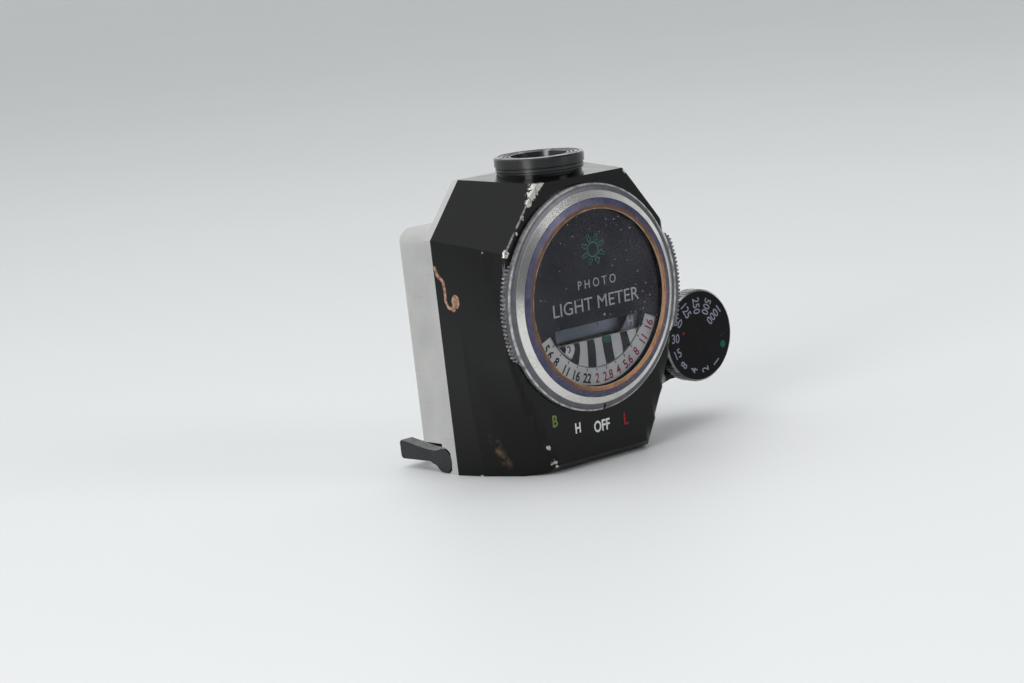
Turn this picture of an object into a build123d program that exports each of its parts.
from build123d import *
import math
import os

# Clip-on exposure meter, standing on its bottom edge with the light barrel up.
# +Z up, +X to the right as seen by someone reading the dial, the dial faces -Y.
# Origin: middle of the flat bottom face of the cover. Millimetres.
os.makedirs("parts", exist_ok=True)

# ---------------------------------------------------------------- driving dimensions
F = -15.0          # front face of the cover
JOIN = 4.8         # joint between cover and base casting
REAR = 16.0        # rear edge of the base casting
WALL = 1.2         # cover wall
DZ = 34.05         # height of the dial axis
R_FLANGE = 23.0    # flange of the switch ring
R_LOBE = 24.3      # knurled lobes
R_BEVEL = 20.1     # inner edge of the bright bevel
R_WINDOW = 17.9    # clear opening of the glass
R_F_IN, R_F_OUT = 14.2, 17.75      # f-number ring band
KX, KZ = 36.3, 19.2                # knob axis
K_FACE = F + 6.5                   # front face of the knob
ARM_Y0, ARM_Y1 = -3.6, 1.9         # gear arm, front lid face to rear face
BY, BTOP = -3.3, 63.0              # light barrel axis and top
M1, Z_RING, Z_PIN = 0.5, 72, 10    # first mesh: f-number ring and pinion
M2, Z_B, Z_C, Z_D = 0.45, 12, 20, 33   # second mesh: wheel, idler, knob gear
TH_A = -29.0       # direction of the pinion from the dial axis
NX, NZ = 0.0, 41.0 # needle axis
NEEDLE_REST = -38  # needle angle at rest, from straight down
BX, BZ, R_BAT, H_BAT = -9.5, 13.6, 7.75, 5.9   # battery

C_A = M1 * (Z_RING + Z_PIN) / 2
AX = C_A * math.cos(math.radians(TH_A))
AZ = DZ + C_A * math.sin(math.radians(TH_A))
D_AC = M2 * (Z_B + Z_C) / 2 + 0.02
D_CD = M2 * (Z_C + Z_D) / 2 + 0.02
D_AD = math.hypot(KX - AX, KZ - AZ)
_a = (D_AC**2 - D_CD**2 + D_AD**2) / (2 * D_AD)
_h = math.sqrt(max(D_AC**2 - _a**2, 0))
_ux, _uz = (KX - AX) / D_AD, (KZ - AZ) / D_AD
CX, CZ = AX + _a * _ux - _h * _uz, AZ + _a * _uz + _h * _ux


def front(y):
    """Sketch plane facing the reader at depth y: local x = X, local y = Z, normal -Y."""
    return Plane(origin=(0, y, 0), x_dir=(1, 0, 0), z_dir=(0, -1, 0))


def slab(y0, y1):
    """Plane at the rear of a slab y0..y1 and its thickness, for extruding forward."""
    return front(max(y0, y1)), abs(y1 - y0)


# ---------------------------------------------------------------- cover outline, by height
def half_section(z):
    """Half width at four depths: rear, first crease, second crease, front."""
    rear = 22.5 + 1.5 * min(z, 48.5) / 48.5
    if z > 48.5:
        rear = 24.0
    t = min(max(z / 25.0, 0), 1)
    a = (20.6 + 2.75 * (1 - (1 - t) ** 1.7), JOIN - 6.3)
    b_x = 17.0 + 6.25 * (1 - (1 - t) ** 1.9)
    b_y = F + 6.0 + 6.2 * t
    f_pts = [(0, 12.9), (4, 14.55), (9.1, 17.05), (13.5, 19.05), (18.5, 21.05), (24.4, 22.85), (30, 23.4), (46.1, 21.95), (62, 20.6)]
    for (z0, x0), (z1, x1) in zip(f_pts, f_pts[1:]):
        if z0 <= z <= z1:
            fx = x0 + (x1 - x0) * (z - z0) / (z1 - z0)
            break
    if z > 30:
        a = (rear + (fx - rear) * 6.3 / 19.8, a[1])
        b_x = rear + (fx - rear) * (JOIN - b_y) / 19.8
    return [(rear, JOIN), a, (b_x, b_y), (fx, F)]


def cover_envelope(inset, y_rear, floor):
    """The level sections of the cover's outer form, shrunk by inset, for a loft."""
    sections = []
    for z in (floor, 6.0, 12.0, 18.5, 25.0, 33.0, 46.1, 62.0):
        pts = half_section(z)
        loop = []
        for i, (x, y) in enumerate(pts):
            yy = y_rear if i == 0 else (y + inset if i == 3 else y)
            if i == 3:
                loop += [(x - inset, yy + 0.8), (x - inset - 0.24, yy + 0.24), (x - inset - 0.8, yy)]
            else:
                loop.append((x - inset, yy))
        with BuildSketch(Plane.XY.offset(z)) as level:
            with BuildLine():
                Polyline(*([(-x, y) for x, y in loop] + [(x, y) for x, y in reversed(loop)]), close=True)
            make_face()
        sections.append(level.sketch.face())
    return sections


def top_cuts(inset):
    """Cuts the roof and the two shoulder slopes."""
    n = Vector(0.7724, -0.1565, 0.6155).normalized()
    for s in (1, -1):
        nn = Vector(s * n.X, n.Y, n.Z)
        p = Vector(s * 11.9, F, 58.65) - nn * inset
        split(bisect_by=Plane(origin=p, z_dir=nn), keep=Keep.BOTTOM)
    nr = Vector(0, -0.048, 1).normalized()
    split(bisect_by=Plane(origin=Vector(0, F, 58.65) - nr * inset, z_dir=nr), keep=Keep.BOTTOM)


# ---------------------------------------------------------------- gears
def tooth_loop(m, z, phase, backlash=0.06):
    """Outline of a spur gear about the origin; phase turns a tooth centre off local +x, in degrees."""
    rp, ra, rd = m * z / 2, m * z / 2 + 0.9 * m, m * z / 2 - 1.15 * m
    half = math.pi / (2 * z) - backlash / (2 * rp)
    lean = 0.36 * m / rp
    root = 0.30 * m / rp
    pts = []
    for k in range(z):
        c = math.radians(phase) + 2 * math.pi * k / z
        for r, d in ((rd, -half - root), (rp, -half), (ra, -half + lean), (ra, half - lean), (rp, half), (rd, half + root)):
            pts.append((r * math.cos(c + d), r * math.sin(c + d)))
    return pts


def gear_face(m, z, phase, bore, y):
    """A gear's flat face at depth y about the origin, with a bore."""
    with BuildSketch(front(y)) as g:
        with BuildLine():
            Polyline(*tooth_loop(m, z, phase), close=True)
        make_face()
        Circle(bore, mode=Mode.SUBTRACT)
    return g.sketch


def at(pts, ox, oz):
    return [(x + ox, z + oz) for x, z in pts]


def ring_points(r, n, a0=0.0):
    return [(r * math.cos(math.radians(a0 + 360 * k / n)), r * math.sin(math.radians(a0 + 360 * k / n))) for k in range(n)]


def lathe(pts, ox=0.0, oz=DZ):
    """A closed profile of (radius, y) points beside an axis along Y through (ox, oz)."""
    with BuildSketch(Plane(origin=(ox, 0, oz), x_dir=(1, 0, 0), z_dir=(0, 0, 1))) as prof:
        with BuildLine():
            Polyline(*pts, close=True)
        make_face()
    return prof.sketch


def y_axis(ox=0.0, oz=DZ):
    return Axis((ox, 0, oz), (0, 1, 0))


def arc_pts(r, a0, a1, n=24):
    return [(r * math.cos(math.radians(a0 + (a1 - a0) * k / n)), r * math.sin(math.radians(a0 + (a1 - a0) * k / n))) for k in range(n + 1)]


def save(part, name):
    part.part.label = name
    export_step(part.part, "parts/%s.step" % name)
    print(name, len(part.part.solids()), round(part.part.volume, 2), part.part.is_valid)


# ================================================================ top cover
# Black shell, open at the rear, with the dial hole, the barrel hole and the arm window.
with BuildPart() as top_cover:
    loft(sections=cover_envelope(0, JOIN, 0.0), ruled=True)
    top_cuts(0)
envelope = top_cover.part

with BuildPart() as hollow:
    loft(sections=cover_envelope(WALL, JOIN + 1, WALL), ruled=True)
    top_cuts(WALL)

with BuildPart() as top_cover:
    add(envelope)
    # lower front edge turned up in two flats
    split(bisect_by=Plane(origin=(0, F, 1.9), z_dir=Vector(0, -0.62, -0.78)), keep=Keep.BOTTOM)
    split(bisect_by=Plane(origin=(0, F + 4.2, 0.25), z_dir=Vector(0, -0.16, -0.99)), keep=Keep.BOTTOM)
    add(hollow.part, mode=Mode.SUBTRACT)
    with BuildSketch(front(F + 2)):
        with Locations((0, DZ)):
            Circle(21.5)
    extrude(amount=4, mode=Mode.SUBTRACT)
    with BuildSketch(front(F + 2.4)):
        with Locations((0, DZ)):
            Circle(22.05)
    extrude(amount=1.1, mode=Mode.SUBTRACT)
    with BuildSketch(Plane.XY.offset(50)):
        with Locations((0, BY)):
            Circle(8.0)
    extrude(amount=14, mode=Mode.SUBTRACT)
    with BuildSketch(front(ARM_Y1 - 0.3)):
        with Locations((23, (CZ + AZ) / 2 - 0.4)):
            Rectangle(8, 11.4)
    extrude(amount=ARM_Y1 - ARM_Y0 - 0.6, mode=Mode.SUBTRACT)
    # four bosses for the cover screws, kept inside the outer form
    with BuildSketch(front(JOIN - 1.6)):
        with Locations((-16.2, 54.2), (16.2, 54.2), (-13.2, 2.9), (13.2, 2.9)):
            Circle(1.9)
    extrude(amount=6)
    add(envelope, mode=Mode.INTERSECT)
    # seat under the barrel
    with BuildSketch(Plane.XY.offset(57.4)):
        with Locations((0, BY)):
            Circle(8.55)
            Circle(8.0, mode=Mode.SUBTRACT)
    extrude(amount=2.32)
    split(bisect_by=Plane(origin=(0, JOIN, 0), z_dir=(0, 1, 0)), keep=Keep.BOTTOM)
    with BuildSketch(front(JOIN)):
        with Locations((-16.2, 54.2), (16.2, 54.2), (-13.2, 2.9), (13.2, 2.9)):
            Circle(0.75)
    extrude(amount=6.4, mode=Mode.SUBTRACT)
save(top_cover, "top_cover")

# ================================================================ base casting
# Grey skirt: a floor that closes the cover, walls round a recess open at the rear and the bottom.
SK_TOP = 48.6
with BuildPart() as base_casting:
    with BuildSketch(front(JOIN + 0.0)) as s0:
        with BuildLine():
            Polyline((22.5, 0), (24.0, 48.5), (14.95, 59.55), (-14.95, 59.55), (-24.0, 48.5), (-22.5, 0), close=True)
        make_face()
    extrude(amount=-1.8)
    with BuildSketch(front(REAR)):
        with BuildLine():
            Line((-22.2, 0), (22.2, 0))
            Line((22.2, 0), (23.55, 47.4))
            ThreePointArc((23.55, 47.4), (22.75, 49.58), (20.65, 50.5))
            Line((20.65, 50.5), (-20.65, 50.5))
            ThreePointArc((-20.65, 50.5), (-22.75, 49.58), (-23.55, 47.4))
            Line((-23.55, 47.4), (-22.2, 0))
        make_face()
    extrude(amount=REAR - JOIN - 1.8 + 0.01)
    fillet(base_casting.edges().filter_by(lambda e: abs(e.center().Y - REAR) < 0.01 and e.center().Z > 1), 1.6)
    # recess for the prism housing, shallower towards the top, with sloped shoulders
    with BuildSketch(front(REAR + 1)):
        with BuildLine():
            Polyline((20.0, -1), (20.6, 41.0), (14.0, 47.2), (-14.0, 47.2), (-20.6, 41.0), (-20.0, -1), close=True)
        make_face()
    extrude(amount=REAR + 1 - JOIN - 1.8, mode=Mode.SUBTRACT)
    # the floor steps down below the seat, where the clip lies
    with BuildSketch(front(REAR + 1)):
        with Locations((0, 2.7)):
            Rectangle(40.8, 8.4)
    extrude(amount=REAR + 1 - JOIN - 1.4, mode=Mode.SUBTRACT)
    # rounded notches for the clip knuckles
    with BuildSketch(Plane.YZ.offset(-26)):
        with Locations((9.3, 2.6)):
            Circle(2.9)
        with Locations((14.3, 2.0)):
            Rectangle(10, 8.3)
    extrude(amount=52, mode=Mode.SUBTRACT)
    # lugs that hold the clip's pins
    for x0 in (-19.2, 16.5):
        with BuildSketch(Plane.YZ.offset(x0)):
            with BuildLine():
                Polyline((JOIN + 1.0, 0.3), (11.6, 0.3), (11.9, 2.3), (10.6, 4.9), (JOIN + 1.0, 6.2), close=True)
            make_face()
        extrude(amount=2.7)
    with BuildSketch(Plane.YZ.offset(-26)):
        with Locations((9.3, 2.6)):
            Circle(0.8)
    extrude(amount=52, mode=Mode.SUBTRACT)
    # battery chamber mouth, with a turned-in step
    with BuildSketch(front(JOIN + 1.8)):
        with Locations((BX, BZ)):
            Circle(9.0)
    extrude(amount=1.8, mode=Mode.SUBTRACT)
    # screw holes
    with BuildSketch(front(JOIN + 1.8)):
        with Locations((-16.2, 54.2), (16.2, 54.2), (-13.2, 2.9), (13.2, 2.9)):
            Circle(0.95)
    extrude(amount=1.8, mode=Mode.SUBTRACT)
    with BuildSketch(front(REAR + 1)):
        with Locations((-16.2, 54.2), (16.2, 54.2), (-13.2, 2.9), (13.2, 2.9)):
            Circle(1.9)
    extrude(amount=REAR + 1 - JOIN - 1.0, mode=Mode.SUBTRACT)
save(base_casting, "base_casting")

# ================================================================ dial group
DIAL = y_axis()
# Fixed cup: tube that carries the glass, floor at its rear, windows for the pinion and the flag.
with BuildPart() as dial_housing:
    revolve(lathe([(18.6, F - 2.1), (20.0, F - 2.1), (20.0, F + 4.6), (10.5, F + 4.6), (10.5, F + 3.7), (18.6, F + 3.7)]), axis=DIAL)
    with BuildSketch(front(F + 3.5)):
        with Locations((AX, AZ)):
            Circle(3.1)
    extrude(amount=1.9, mode=Mode.SUBTRACT)
    with BuildSketch(front(F + 4.6)):
        with Locations((AX, AZ)):
            Circle(0.83)
    extrude(amount=1.1, mode=Mode.SUBTRACT)
    # arc slot in the tube wall for the flag arm
    with BuildSketch(front(F + 3.6)):
        with BuildLine():
            Polyline(*at(arc_pts(21.0, -94, -36) + arc_pts(18.0, -36, -94), 0, DZ), close=True)
        make_face()
    extrude(amount=0.65, mode=Mode.SUBTRACT)
    # holes for the three housing screws and the pins of the banded disc
    with BuildSketch(front(F + 4.7)):
        with Locations((-12.5, DZ + 9.0), (12.5, DZ + 9.0), (-17.0, DZ - 3.5)):
            Circle(0.75)
    extrude(amount=1.2, mode=Mode.SUBTRACT)
save(dial_housing, "dial_housing")

# Rotating ring: skirt in the cover hole, flange over the cover, bevel, two knurled lobes.
with BuildPart() as switch_ring:
    revolve(lathe([(20.1, F - 2.4), (21.55, F - 1.55), (22.35, F - 1.35), (23.0, F - 0.95), (23.0, F - 0.12), (21.4, F - 0.12), (21.4, F + 1.35), (20.1, F + 1.35)]), axis=DIAL)
    for a0 in (-27, 153):
        with BuildSketch(front(F - 0.12)):
            with BuildLine():
                inner = [(22.0 * math.cos(math.radians(a0 + 54 - k * 6)), 22.0 * math.sin(math.radians(a0 + 54 - k * 6))) for k in range(10)]
                outer = []
                teeth = 27
                for k in range(teeth):
                    b = a0 + 54 * k / teeth
                    env = min(1.0, (k + 0.5) / 3, (teeth - k - 0.5) / 3)
                    for db, r in ((0.1, 23.95), (0.5, 24.45), (1.3, 24.45), (1.7, 23.95)):
                        rr = 22.9 + (r - 22.9) * env
                        outer.append((rr * math.cos(math.radians(b + db)), rr * math.sin(math.radians(b + db))))
                Polyline(*at(inner + outer, 0, DZ), close=True)
            make_face()
        extrude(amount=0.95)
    # index notch in the flange, at the bottom
    with BuildSketch(front(F + 0.0)):
        with Locations((0, DZ - 22.6)):
            Rectangle(0.55, 1.5)
    extrude(amount=3, mode=Mode.SUBTRACT)
save(switch_ring, "switch_ring")

# Washer that closes the ring's skirt behind the cover and carries the flag arm and the wiper.
with BuildPart() as switch_carrier:
    revolve(lathe([(20.1, F + 1.35), (21.95, F + 1.35), (21.95, F + 1.7), (20.1, F + 1.7)]), axis=DIAL)
    # tab behind the washer, then an arm through the slot in the dial housing
    with BuildSketch(front(F + 3.45)):
        with BuildLine():
            Polyline(*at(arc_pts(21.6, -61, -55, 4) + arc_pts(20.3, -55, -61, 4), 0, DZ), close=True)
        make_face()
    extrude(amount=1.85)
    with BuildSketch(front(F + 3.45)):
        with BuildLine():
            Polyline(*at(arc_pts(21.6, -60, -56, 4) + arc_pts(12.2, -55, -61, 4), 0, DZ), close=True)
        make_face()
    extrude(amount=0.4)
    with BuildSketch(front(F + 3.1)):
        with Locations((12.65 * math.cos(math.radians(-58)), DZ + 12.65 * math.sin(math.radians(-58)))):
            Circle(0.42)
    extrude(amount=3.05)
save(switch_carrier, "switch_carrier")

with BuildPart() as range_flag:
    with BuildSketch(front(F + 0.05)):
        with BuildLine():
            Polyline(*at(arc_pts(14.0, -60, -14) + arc_pts(11.0, -14, -60), 0, DZ), close=True)
        make_face()
    extrude(amount=0.2)
save(range_flag, "range_flag")

with BuildPart() as glass_retainer:
    revolve(lathe([(17.9, F - 2.75), (18.7, F - 2.78), (20.0, F - 2.45), (20.0, F - 2.15), (18.4, F - 2.15), (18.4, F - 2.4), (17.9, F - 2.4)]), axis=DIAL)
save(glass_retainer, "glass_retainer")

with BuildPart() as window_glass:
    revolve(lathe([(0, F - 2.38), (18.35, F - 2.38), (18.35, F - 1.75), (0, F - 1.75)]), axis=DIAL)
save(window_glass, "window_glass")


# Printed plate under the glass, cut away over the f-numbers, the bands and the needle.
with BuildPart() as dial_mask:
    with BuildSketch(front(F - 1.45)):
        with Locations((0, DZ)):
            Circle(18.35)
        with BuildLine():
            Polyline(*at(arc_pts(R_F_OUT, -157, -22.5) + arc_pts(R_F_IN, -22.5, -157), 0, DZ), close=True)
        make_face(mode=Mode.SUBTRACT)
        with BuildLine():
            Polyline(*at(arc_pts(R_F_IN + 0.3, -143, -37) + [(12.1, -4.9), (-12.1, -4.9)], 0, DZ), close=True)
        make_face(mode=Mode.SUBTRACT)
    extrude(amount=0.25)
save(dial_mask, "dial_mask")

# f-number ring: printed band, short sleeve, gear rim at the rear.
with BuildPart() as f_number_ring:
    revolve(lathe([(14.25, F - 1.3), (18.0, F - 1.3), (18.0, F + 1.7), (17.2, F + 1.7), (17.2, F - 0.9), (14.25, F - 0.9)]), axis=DIAL)
save(f_number_ring, "f_number_ring")

with BuildPart() as f_ring_gear:
    with BuildSketch(front(F + 2.9)):
        with BuildLine():
            Polyline(*at(tooth_loop(M1, Z_RING, TH_A), 0, DZ), close=True)
        make_face()
        with Locations((0, DZ)):
            Circle(16.2, mode=Mode.SUBTRACT)
    extrude(amount=1.2)
save(f_ring_gear, "f_ring_gear")

# Fixed banded disc inside the ring.
with BuildPart() as band_disc:
    with BuildSketch(front(F - 0.6)):
        with BuildLine():
            Polyline(*at(arc_pts(14.1, -144, -36), 0, DZ), close=True)
        make_face()
    extrude(amount=0.5)
    with BuildSketch(front(F + 3.7)):
        with Locations(*at([(13.2 * math.cos(math.radians(a)), 13.2 * math.sin(math.radians(a))) for a in (-104, -138)], 0, DZ)):
            Circle(0.6)
    extrude(amount=4.4)
save(band_disc, "band_disc")

# Curved grey plate seen behind the needle.
with BuildPart() as needle_backplate:
    with BuildSketch(Plane.XY.offset(25.95)):
        with BuildLine():
            Polyline(*[(x, F + 1.9 - 1.1 * (x / 12.6) ** 2) for x in (-12.6, -10, -7, -3.5, 0, 3.5, 7, 10, 12.6)],
                     *[(x, F + 2.25 - 1.1 * (x / 12.6) ** 2) for x in (12.6, 10, 7, 3.5, 0, -3.5, -7, -10, -12.6)], close=True)
        make_face()
    extrude(amount=4.4)
    with BuildSketch(front(F + 3.7)):
        with Locations((-10.9, 28.6), (11.2, 28.6)):
            Circle(0.6)
    extrude(amount=2.5)
save(needle_backplate, "needle_backplate")

# ================================================================ gear train
with BuildPart() as pinion_arbor:
    with BuildSketch(front(F + 2.85)):
        with BuildLine():
            Polyline(*at(tooth_loop(M1, Z_PIN, TH_A + 180 + 18), AX, AZ), close=True)
        make_face()
    extrude(amount=0.95)
    with BuildSketch(front(1.75)):
        with Locations((AX, AZ)):
            Circle(0.8)
    extrude(amount=1.75 - (F + 1.9))
save(pinion_arbor, "pinion_arbor")

ANG_AC = math.degrees(math.atan2(CZ - AZ, CX - AX))
ANG_CD = math.degrees(math.atan2(KZ - CZ, KX - CX))
PH_C = ANG_AC + 180 + 180 / Z_C
# phase the knob gear so that a gap of it faces the idler tooth nearest the line of centres
_off = (ANG_CD - PH_C) / (360 / Z_C)
_frac = (_off - math.floor(_off)) * (360 / Z_C)
PH_D = ANG_CD + 180 + _frac * Z_C / Z_D + 180 / Z_D
with BuildPart() as arbor_wheel:
    with BuildSketch(front(-0.2)):
        with BuildLine():
            Polyline(*at(tooth_loop(M2, Z_B, ANG_AC), AX, AZ), close=True)
        make_face()
        with Locations((AX, AZ)):
            Circle(0.8, mode=Mode.SUBTRACT)
    extrude(amount=1.0)
save(arbor_wheel, "arbor_wheel")

with BuildPart() as idler_gear:
    with BuildSketch(front(-0.2)):
        with BuildLine():
            Polyline(*at(tooth_loop(M2, Z_C, PH_C), CX, CZ), close=True)
        make_face()
        with Locations((CX, CZ)):
            Circle(1.04, mode=Mode.SUBTRACT)
    extrude(amount=1.0)
save(idler_gear, "idler_gear")

with BuildPart() as idler_post:
    revolve(lathe([(0, -2.1), (1.7, -2.1), (1.7, -1.35), (1.0, -1.35), (1.0, 1.1), (0, 1.1)], CX, CZ), axis=y_axis(CX, CZ))
save(idler_post, "idler_post")

with BuildPart() as knob_gear:
    with BuildSketch(front(-0.2)):
        with BuildLine():
            Polyline(*at(tooth_loop(M2, Z_D, PH_D), KX, KZ), close=True)
        make_face()
        with Locations((KX, KZ)):
            Circle(1.5, mode=Mode.SUBTRACT)
    extrude(amount=1.0)
save(knob_gear, "knob_gear")

# ================================================================ gear arm
ARM_OUT = [(21.5, 8.7), (26.5, 9.2), (31.5, 10.3), (31.5, 28.1), (26.5, 29.0), (21.5, 29.6)]
TZ = (CZ + AZ) / 2 - 0.4
with BuildPart() as gear_arm:
    with BuildSketch(front(ARM_Y1)):
        with BuildLine():
            Polyline(*ARM_OUT, close=True)
        make_face()
        with Locations((KX, KZ)):
            Circle(8.9)
        with BuildLine():
            Polyline((31.5, 10.3), (KX, KZ - 8.9), (KX, KZ + 8.9), (31.5, 28.1), close=True)
        make_face()
    extrude(amount=ARM_Y1 + 2.8)
    add(envelope, mode=Mode.SUBTRACT)
    with BuildSketch(front(1.55)):
        with Locations((20.4, TZ)):
            Rectangle(9.2, 11.1)
    extrude(amount=4.35)
    with BuildSketch(front(0.9)):
        with Locations((KX, KZ)):
            Circle(8.05)
        with Locations((CX, CZ)):
            Circle(5.2)
        with Locations((AX, AZ)):
            Circle(3.4)
    extrude(amount=5, mode=Mode.SUBTRACT)
    with BuildSketch(front(2.5)):
        with Locations((KX, KZ)):
            Circle(1.54)
    extrude(amount=2.5, mode=Mode.SUBTRACT)
    with BuildSketch(front(2.5)):
        with Locations((AX, AZ)):
            Circle(0.83)
        with Locations((CX, CZ)):
            Circle(1.0)
    extrude(amount=2.5, mode=Mode.SUBTRACT)
    # posts and tapped holes for the lid screws
    with BuildSketch(front(-2.0)):
        with Locations((29.0, 27.2), (28.6, 10.9)):
            Circle(0.5)
    extrude(amount=1.0, mode=Mode.SUBTRACT)
save(gear_arm, "gear_arm")

with BuildPart() as arm_lid:
    with BuildSketch(front(-2.8)):
        with BuildLine():
            Polyline(*ARM_OUT, close=True)
        make_face()
        with Locations((KX, KZ)):
            Circle(8.9)
        with BuildLine():
            Polyline((31.5, 10.3), (KX, KZ - 8.9), (KX, KZ + 8.9), (31.5, 28.1), close=True)
        make_face()
        with Locations((KX, KZ)):
            Circle(1.54, mode=Mode.SUBTRACT)
        with Locations((29.0, 27.2), (28.6, 10.9)):
            Circle(0.55, mode=Mode.SUBTRACT)
    extrude(amount=0.8)
    add(envelope, mode=Mode.SUBTRACT)
save(arm_lid, "arm_lid")

with BuildPart() as arm_lid_screws:
    for x, z in ((29.0, 27.2), (28.6, 10.9)):
        revolve(lathe([(0, -4.15), (0.95, -4.15), (1.1, -3.95), (1.1, -3.6), (0.5, -3.6), (0.5, -2.05), (0, -2.05)], x, z), axis=y_axis(x, z))
save(arm_lid_screws, "arm_lid_screws")

# ================================================================ shutter-speed knob
KAX = y_axis(KX, KZ)
with BuildPart() as speed_knob:
    revolve(lathe([(0, K_FACE + 0.25), (9.44, K_FACE + 0.25), (9.44, K_FACE + 0.02), (9.54, K_FACE), (9.8, K_FACE + 0.3), (9.8, K_FACE + 2.9), (6.4, K_FACE + 3.1),
                   (6.2, -3.85), (1.5, -3.85), (1.5, K_FACE + 1.5), (0, K_FACE + 1.5)], KX, KZ), axis=KAX)
    with BuildSketch(front(K_FACE + 2.8)):
        with Locations((KX, KZ)):
            with PolarLocations(9.92, 70):
                Rectangle(0.55, 0.42, rotation=45)
    extrude(amount=2.35, mode=Mode.SUBTRACT)
save(speed_knob, "speed_knob")

with BuildPart() as knob_face:
    revolve(lathe([(0, K_FACE + 0.05), (9.4, K_FACE + 0.05), (9.4, K_FACE + 0.25), (0, K_FACE + 0.25)], KX, KZ), axis=KAX)
save(knob_face, "knob_face")

with BuildPart() as knob_shaft:
    revolve(lathe([(0, K_FACE + 1.5), (1.5, K_FACE + 1.5), (1.5, 4.0), (0, 4.0)], KX, KZ), axis=KAX)
save(knob_shaft, "knob_shaft")

with BuildPart() as coupler_cup:
    revolve(lathe([(1.5, 2.0), (8.0, 2.0), (8.5, 2.5), (8.5, 8.6), (7.6, 8.6), (7.6, 5.3), (6.6, 5.3), (6.6, 3.6), (1.5, 3.6)], KX, KZ), axis=KAX)
save(coupler_cup, "coupler_cup")

with BuildPart() as drive_pin:
    with BuildSketch(front(5.2)):
        with Locations((KX + 5.2, KZ)):
            Circle(0.7)
    extrude(amount=1.6)
save(drive_pin, "drive_pin")

# ================================================================ meter movement
# Core magnet with the moving coil round it inside a soft-iron yoke, needle out in front.
NAX = y_axis(NX, NZ)
MY0, MY1 = F + 5.6, F + 12.4
with BuildPart() as movement_yoke:
    revolve(lathe([(6.6, MY0), (8.2, MY0), (8.2, MY1), (6.6, MY1)], NX, NZ), axis=NAX)
save(movement_yoke, "movement_yoke")

with BuildPart() as movement_frame:
    with BuildSketch(front(MY1 + 1.2)):
        with Locations((NX, NZ)):
            Circle(9.2)
            Circle(0.5, mode=Mode.SUBTRACT)
    extrude(amount=1.2)
    with BuildSketch(front(MY1)):
        with Locations((NX - 8.75, NZ), (NX + 8.75, NZ)):
            Circle(0.9)
    extrude(amount=MY1 - MY0)
    add(movement_yoke.part, mode=Mode.SUBTRACT)
save(movement_frame, "movement_frame")

with BuildPart() as magnet_core:
    revolve(lathe([(0.9, MY0 + 0.9), (4.2, MY0 + 0.9), (4.2, MY1 - 0.9), (0.9, MY1 - 0.9)], NX, NZ), axis=NAX)
save(magnet_core, "magnet_core")

with BuildPart() as core_bridge:
    with BuildSketch(front(MY0 - 0.0)):
        with Locations((NX, NZ)):
            Rectangle(19.0, 2.2)
            Circle(0.5, mode=Mode.SUBTRACT)
    extrude(amount=1.0)
save(core_bridge, "core_bridge")

# coil: a closed frame round the core with two pivots, and the needle's boss in front
with BuildPart() as moving_coil:
    with BuildSketch(Plane(origin=(NX, 0, NZ), x_dir=(1, 0, 0), z_dir=(0, 0, 1))):
        with Locations((0, (MY0 + MY1) / 2)):
            Rectangle(11.4, MY1 - MY0 - 0.5)
            Rectangle(9.4, MY1 - MY0 - 1.5, mode=Mode.SUBTRACT)
    extrude(amount=1.5, both=True)
    add(magnet_core.part, mode=Mode.SUBTRACT)
    with BuildSketch(front(MY1 + 0.9)):
        with Locations((NX, NZ)):
            Circle(0.42)
    extrude(amount=MY1 + 0.9 - (MY1 - 0.3))
    with BuildSketch(front(MY0 + 0.3)):
        with Locations((NX, NZ)):
            Circle(0.42)
    extrude(amount=MY0 + 0.3 - (F - 0.62))
save(moving_coil, "moving_coil")

with BuildPart() as hairspring:
    with BuildSketch(front(MY0 - 1.1)):
        with Locations((NX, NZ)):
            for r in (1.0, 1.6, 2.2):
                Circle(r + 0.12)
                Circle(r - 0.06, mode=Mode.SUBTRACT)
            with Locations((1.5, 0)):
                Rectangle(1.7, 0.3)
            with Locations((0.0, 0)):
                Circle(0.42, mode=Mode.SUBTRACT)
        with Locations((NX + 0.68, NZ)):
            Rectangle(0.5, 0.3)
        with Locations((NX, NZ)):
            Circle(0.46, mode=Mode.SUBTRACT)
    extrude(amount=0.3)
save(hairspring, "hairspring")

with BuildPart() as needle:
    with BuildSketch(front(F - 0.38)):
        with Locations((NX, NZ)):
            Circle(1.1)
        a = math.radians(NEEDLE_REST - 90)
        ux, uz = math.cos(a), math.sin(a)
        px, pz = -uz, ux
        with BuildLine():
            Polyline((NX + 0.35 * px, NZ + 0.35 * pz), (NX + 15.2 * ux + 0.13 * px, NZ + 15.2 * uz + 0.13 * pz),
                     (NX + 15.2 * ux - 0.13 * px, NZ + 15.2 * uz - 0.13 * pz), (NX - 0.35 * px, NZ - 0.35 * pz), close=True)
        make_face()
        with BuildLine():
            Polyline((NX + 0.4 * px, NZ + 0.4 * pz), (NX - 3.6 * ux + 0.8 * px, NZ - 3.6 * uz + 0.8 * pz),
                     (NX - 3.6 * ux - 0.8 * px, NZ - 3.6 * uz - 0.8 * pz), (NX - 0.4 * px, NZ - 0.4 * pz), close=True)
        make_face()
        with Locations((NX, NZ)):
            Circle(0.42, mode=Mode.SUBTRACT)
    extrude(amount=0.12)
save(needle, "needle")

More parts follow.
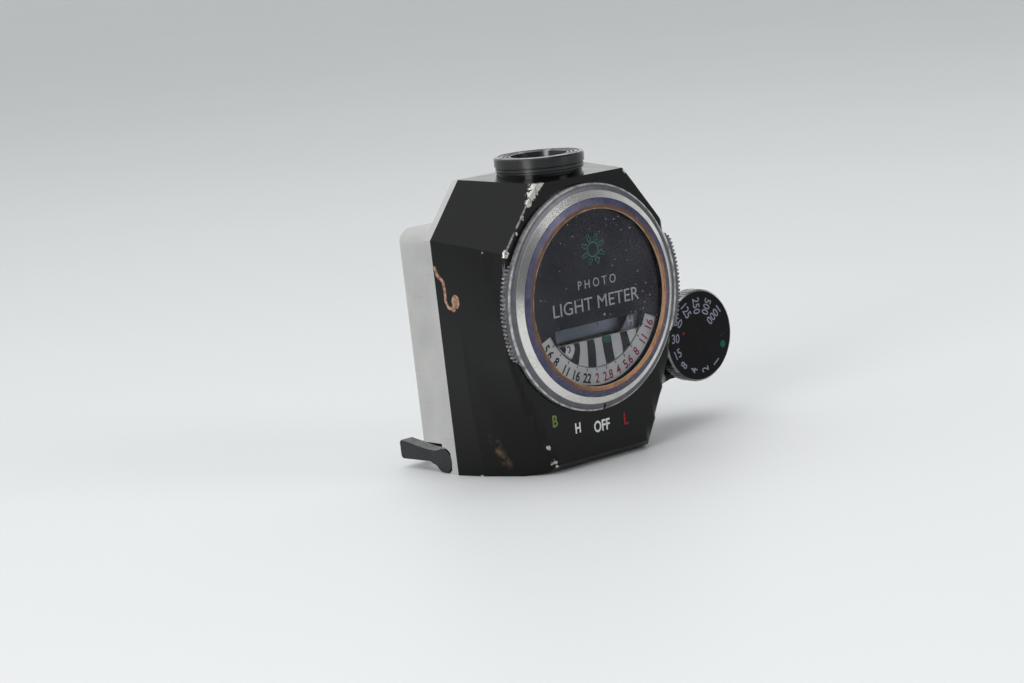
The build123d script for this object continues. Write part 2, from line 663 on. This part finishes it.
# ================================================================ light barrel and cell
with BuildPart() as light_barrel:
    with BuildSketch(Plane(origin=(0, BY, 0), x_dir=(1, 0, 0), z_dir=(0, -1, 0))):
        with BuildLine():
            Polyline((7.95, 54.7), (7.95, 59.75), (8.9, 59.75), (8.9, 60.0), (9.0, 60.15), (9.0, 60.75), (8.75, 60.85), (8.75, 61.0),
                     (9.2, 61.1), (9.2, 62.7), (9.0, 63.0), (8.45, 63.0), (8.3, 62.8), (7.9, 62.75), (7.9, 62.0), (6.9, 61.0), (6.9, 54.7), close=True)
        make_face()
    revolve(axis=Axis((0, BY, 0), (0, 0, 1)))
save(light_barrel, "light_barrel")

with BuildPart() as barrel_baffle:
    with BuildSketch(Plane(origin=(0, BY, 0), x_dir=(1, 0, 0), z_dir=(0, -1, 0))):
        with BuildLine():
            Polyline((7.85, 62.05), (7.85, 62.95), (7.45, 62.95), (7.35, 62.65), (7.05, 62.65), (6.95, 62.9), (6.65, 62.9), (6.55, 62.55), (6.25, 62.55),
                     (6.15, 62.85), (5.85, 62.85), (5.7, 61.6), (5.7, 61.05), (6.85, 61.05), close=True)
        make_face()
    revolve(axis=Axis((0, BY, 0), (0, 0, 1)))
save(barrel_baffle, "barrel_baffle")

with BuildPart() as barrel_lens:
    with BuildSketch(Plane(origin=(0, BY, 0), x_dir=(1, 0, 0), z_dir=(0, -1, 0))):
        with BuildLine():
            Polyline((0, 58.2), (6.85, 58.2), *[(6.85 - 0.685 * k, 59.3 + 1.1 * (1 - ((6.85 - 0.685 * k) / 6.85) ** 2)) for k in range(11)], close=True)
        make_face()
    revolve(axis=Axis((0, BY, 0), (0, 0, 1)))
save(barrel_lens, "barrel_lens")

with BuildPart() as field_stop:
    with BuildSketch(Plane.XY.offset(56.6)):
        with Locations((0, BY)):
            Circle(6.88)
            Rectangle(7.4, 5.4, mode=Mode.SUBTRACT)
    extrude(amount=0.4)
save(field_stop, "field_stop")

with BuildPart() as cell_holder:
    with BuildSketch(Plane.XY.offset(50.4)):
        with Locations((0, BY)):
            Circle(6.88)
    extrude(amount=5.2)
    with BuildSketch(Plane.XY.offset(51.6)):
        with Locations((0, BY)):
            Circle(4.6)
    extrude(amount=5, mode=Mode.SUBTRACT)
    with BuildSketch(Plane.XY.offset(50.0)):
        with Locations((-1.7, BY), (1.7, BY)):
            Circle(0.4)
    extrude(amount=3, mode=Mode.SUBTRACT)
save(cell_holder, "cell_holder")

with BuildPart() as photocell:
    with BuildSketch(Plane.XY.offset(51.6)):
        with Locations((0, BY)):
            Circle(4.55)
    extrude(amount=2.2)
    with BuildSketch(Plane.XY.offset(49.8)):
        with Locations((-1.7, BY), (1.7, BY)):
            Circle(0.3)
    extrude(amount=2.0)
save(photocell, "photocell")

with BuildPart() as barrel_nut:
    with BuildSketch(Plane(origin=(0, BY, 0), x_dir=(1, 0, 0), z_dir=(0, -1, 0))):
        with BuildLine():
            Polyline((7.98, 55.0), (9.6, 55.0), (9.6, 56.6), (7.98, 56.6), close=True)
        make_face()
    revolve(axis=Axis((0, BY, 0), (0, 0, 1)))
    split(bisect_by=Plane(origin=(0, JOIN - 0.05, 0), z_dir=(0, 1, 0)), keep=Keep.BOTTOM)
save(barrel_nut, "barrel_nut")

# ================================================================ battery
with BuildPart() as battery:
    revolve(lathe([(0, JOIN - 6.1), (5.2, JOIN - 6.1), (5.2, JOIN - 5.3), (7.3, JOIN - 5.3), (R_BAT, JOIN - 4.9), (R_BAT, JOIN - 0.3), (7.5, JOIN - 0.1), (0, JOIN - 0.1)], BX, BZ), axis=y_axis(BX, BZ))
save(battery, "battery")

with BuildPart() as battery_cup:
    revolve(lathe([(8.05, JOIN - 6.8), (8.9, JOIN - 6.8), (8.9, JOIN), (8.05, JOIN)], BX, BZ), axis=y_axis(BX, BZ))
save(battery_cup, "battery_cup")

with BuildPart() as battery_spring:
    revolve(lathe([(0, JOIN - 6.55), (4.0, JOIN - 6.55), (7.95, JOIN - 6.85), (8.9, JOIN - 6.85), (8.9, JOIN - 7.15), (7.9, JOIN - 7.15), (4.0, JOIN - 6.85), (0, JOIN - 6.85)], BX, BZ), axis=y_axis(BX, BZ))
save(battery_spring, "battery_spring")

with BuildPart() as battery_cap:
    revolve(lathe([(0, JOIN + 0.05), (8.9, JOIN + 0.05), (8.9, JOIN + 1.5), (8.7, JOIN + 1.7), (0, JOIN + 1.7)], BX, BZ), axis=y_axis(BX, BZ))
    with BuildSketch(front(JOIN + 1.9)):
        with Locations((BX, BZ)):
            SlotOverall(13.0, 1.6)
    extrude(amount=1.0, mode=Mode.SUBTRACT)
save(battery_cap, "battery_cap")

# ================================================================ switch and circuit
with BuildPart() as switch_wafer:
    with BuildSketch(front(F + 6.6)):
        with BuildLine():
            Polyline((2.0, 2.6), (15.5, 4.6), (17.4, 10.0), (17.4, 20.0), (2.0, 20.0), close=True)
        make_face()
    extrude(amount=0.9)
save(switch_wafer, "switch_wafer")

with BuildPart() as resistors:
    for x, z in ((5.5, 8.0), (5.5, 11.2), (5.5, 14.4)):
        with BuildSketch(Plane.YZ.offset(x)):
            with Locations((F + 7.7, z)):
                Circle(1.0)
        extrude(amount=5.5)
save(resistors, "resistors")

with BuildPart() as trimmer:
    revolve(lathe([(0, F + 6.62), (2.6, F + 6.62), (2.6, F + 8.6), (0, F + 8.6)], 14.0, 13.0), axis=y_axis(14.0, 13.0))
    with BuildSketch(front(F + 8.7)):
        with Locations((14.0, 13.0)):
            Rectangle(3.4, 0.6)
    extrude(amount=0.6, mode=Mode.SUBTRACT)
save(trimmer, "trimmer")

with BuildPart() as wiper:
    with BuildSketch(front(F + 2.05)):
        with BuildLine():
            Polyline(*at(arc_pts(21.9, -102, -86, 6) + arc_pts(20.4, -86, -102, 6), 0, DZ), close=True)
        make_face()
    extrude(amount=0.35)
save(wiper, "wiper")

with BuildPart() as housing_screws:
    for x, z in ((-12.5, DZ + 9.0), (12.5, DZ + 9.0), (-17.0, DZ - 3.5)):
        revolve(lathe([(0, F + 3.45), (0.7, F + 3.45), (0.7, F + 4.6), (1.5, F + 4.6), (1.5, F + 5.2), (0, F + 5.2)], x, z), axis=y_axis(x, z))
save(housing_screws, "housing_screws")

with BuildPart() as detent_ball:
    with Locations((-21.05 * math.cos(math.radians(35)), F + 2.72, DZ - 21.05 * math.sin(math.radians(35)))):
        Sphere(0.99)
save(detent_ball, "detent_ball")

with BuildPart() as detent_spring:
    revolve(lathe([(0, F + 3.75), (0.6, F + 3.75), (0.6, F + 4.7), (0, F + 4.7)], -21.05 * math.cos(math.radians(35)), DZ - 21.05 * math.sin(math.radians(35))), axis=y_axis(-21.05 * math.cos(math.radians(35)), DZ - 21.05 * math.sin(math.radians(35))))
    with BuildSketch(front(F + 4.9)):
        with BuildLine():
            Polyline(*at([(21.9 * math.cos(math.radians(212)), 21.9 * math.sin(math.radians(212))), (21.9 * math.cos(math.radians(218)), 21.9 * math.sin(math.radians(218))),
                          (13.5 * math.cos(math.radians(222)), 13.5 * math.sin(math.radians(222))), (13.5 * math.cos(math.radians(208)), 13.5 * math.sin(math.radians(208)))], 0, DZ), close=True)
        make_face()
    extrude(amount=0.28)
save(detent_spring, "detent_spring")

with BuildPart() as cover_screws:
    for x, z in ((-16.2, 54.2), (16.2, 54.2), (-13.2, 2.9), (13.2, 2.9)):
        revolve(lathe([(0, JOIN - 6.2), (0.73, JOIN - 6.2), (0.73, JOIN + 1.02), (1.7, JOIN + 1.02), (1.7, JOIN + 1.5), (1.3, JOIN + 1.75), (0, JOIN + 1.75)], x, z), axis=y_axis(x, z))
        with BuildSketch(front(JOIN + 2.2)):
            with Locations((x, z)):
                Rectangle(2.9, 0.4)
        extrude(amount=0.75, mode=Mode.SUBTRACT)
save(cover_screws, "cover_screws")

# ================================================================ eyepiece clip
CY, CZ0 = 9.3, 2.6     # hinge axis, along X
with BuildPart() as eyepiece_clip:
    for x0 in (-22.35, 19.35):
        with BuildSketch(Plane.YZ.offset(x0)):
            with Locations((CY, CZ0)):
                Circle(2.5)
            with BuildLine():
                Polyline((CY, CZ0 - 0.2), (CY + 0.8, CZ0 + 2.3), (CY + 2.6, CZ0 + 1.9), (14.5, CZ0 + 2.0), (22.5, CZ0 + 3.2), (23.0, CZ0 + 2.7), (22.8, CZ0 - 0.3), (22.3, CZ0 - 0.7), (13.5, CZ0 - 0.5), (CY + 2.0, CZ0 - 1.4), close=True)
            make_face()
        extrude(amount=3.0)
    with BuildSketch(Plane.YZ.offset(-22.35)):
        with BuildLine():
            Polyline((20.4, CZ0 + 1.8), (22.7, CZ0 + 1.8), (22.95, CZ0 + 1.2), (22.8, CZ0 - 0.3), (22.3, CZ0 - 0.7), (20.4, CZ0 - 0.65), close=True)
        make_face()
    extrude(amount=44.7)
    with BuildSketch(Plane.YZ.offset(-22)):
        with Locations((CY, CZ0)):
            Circle(0.85)
    extrude(amount=44, mode=Mode.SUBTRACT)
save(eyepiece_clip, "eyepiece_clip")

with BuildPart() as clip_pins:
    for x0 in (-21.9, 16.6):
        with BuildSketch(Plane.YZ.offset(x0)):
            with Locations((CY, CZ0)):
                Circle(0.8)
        extrude(amount=5.3)
save(clip_pins, "clip_pins")
